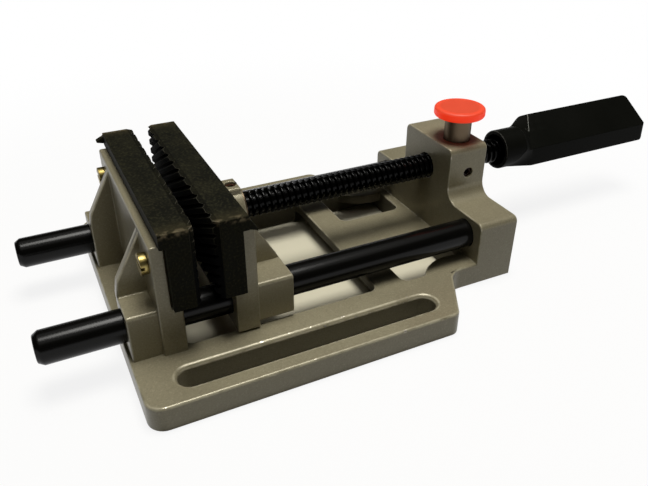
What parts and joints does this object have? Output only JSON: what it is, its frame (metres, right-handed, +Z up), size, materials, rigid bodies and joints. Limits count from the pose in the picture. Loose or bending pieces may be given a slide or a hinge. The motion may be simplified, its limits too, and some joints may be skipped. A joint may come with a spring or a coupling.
{
  "type": "drill press vise",
  "caption": "Drill press vise: a jaw on guide rods is driven by a lead screw with a paddle handle, and a push button frees the screw for quick sliding; slotted flanges bolt it down.",
  "frame": {"origin": "on the underside, at the middle of the base casting's length and width", "axes": "+Y along the lead screw towards the handle, +Z up, +X to the left as seen from the handle"},
  "size_m": [0.15, 0.3353, 0.0734],
  "materials": {
    "paint": "satin warm grey metallic paint over a die casting",
    "black_jaw": "black oxide, worn on the edges",
    "black_steel": "glossy black finish, lightly oiled",
    "bright_steel": "turned bright steel",
    "brass": "plain turned brass",
    "black_plastic": "moulded black plastic, satin",
    "cap_red": "bright orange-red plastic"
  },
  "bodies": {
    "base": {"base_casting": "paint", "fixed_jaw_plate": "black_jaw", "fixed_jaw_screw_left": "brass", "fixed_jaw_screw_right": "brass", "guide_rod_left": "black_steel", "guide_rod_right": "black_steel", "rod_pin_left": "bright_steel", "rod_pin_right": "bright_steel", "plunger_guide_screw": "black_steel", "plunger_spring": "bright_steel"},
    "moving_jaw": {"moving_jaw_casting": "paint", "moving_jaw_plate": "black_jaw", "moving_jaw_screw_left": "brass", "moving_jaw_screw_right": "brass", "hub_grub_screw": "black_steel"},
    "screw": {"lead_screw": "black_steel", "thrust_washer": "bright_steel", "handle": "black_plastic"},
    "plunger": {"release_plunger": "bright_steel", "button_cap": "cap_red"}
  },
  "joints": [
    {"name": "jaw_slide", "type": "slide", "parent": "base", "child": "moving_jaw", "axis": [0, 1, 0], "range_m": [-0.0065, 0.0915]},
    {"name": "screw_turn", "type": "hinge", "parent": "moving_jaw", "child": "screw", "pos_m": [0, 0, 0.0421], "axis": [0, 1, 0], "range_deg": [-781, 10981]},
    {"name": "button_press", "type": "slide", "parent": "base", "child": "plunger", "axis": [0, 0, -1], "range_m": [0, 0.008], "stiffness_N_per_m": 600, "springref_m": -0.008, "deforming": ["plunger_spring"]}
  ],
  "couplings": [
    {"joint": "screw_turn", "follows": "jaw_slide", "rad_per_m": 2094.4}
  ]
}
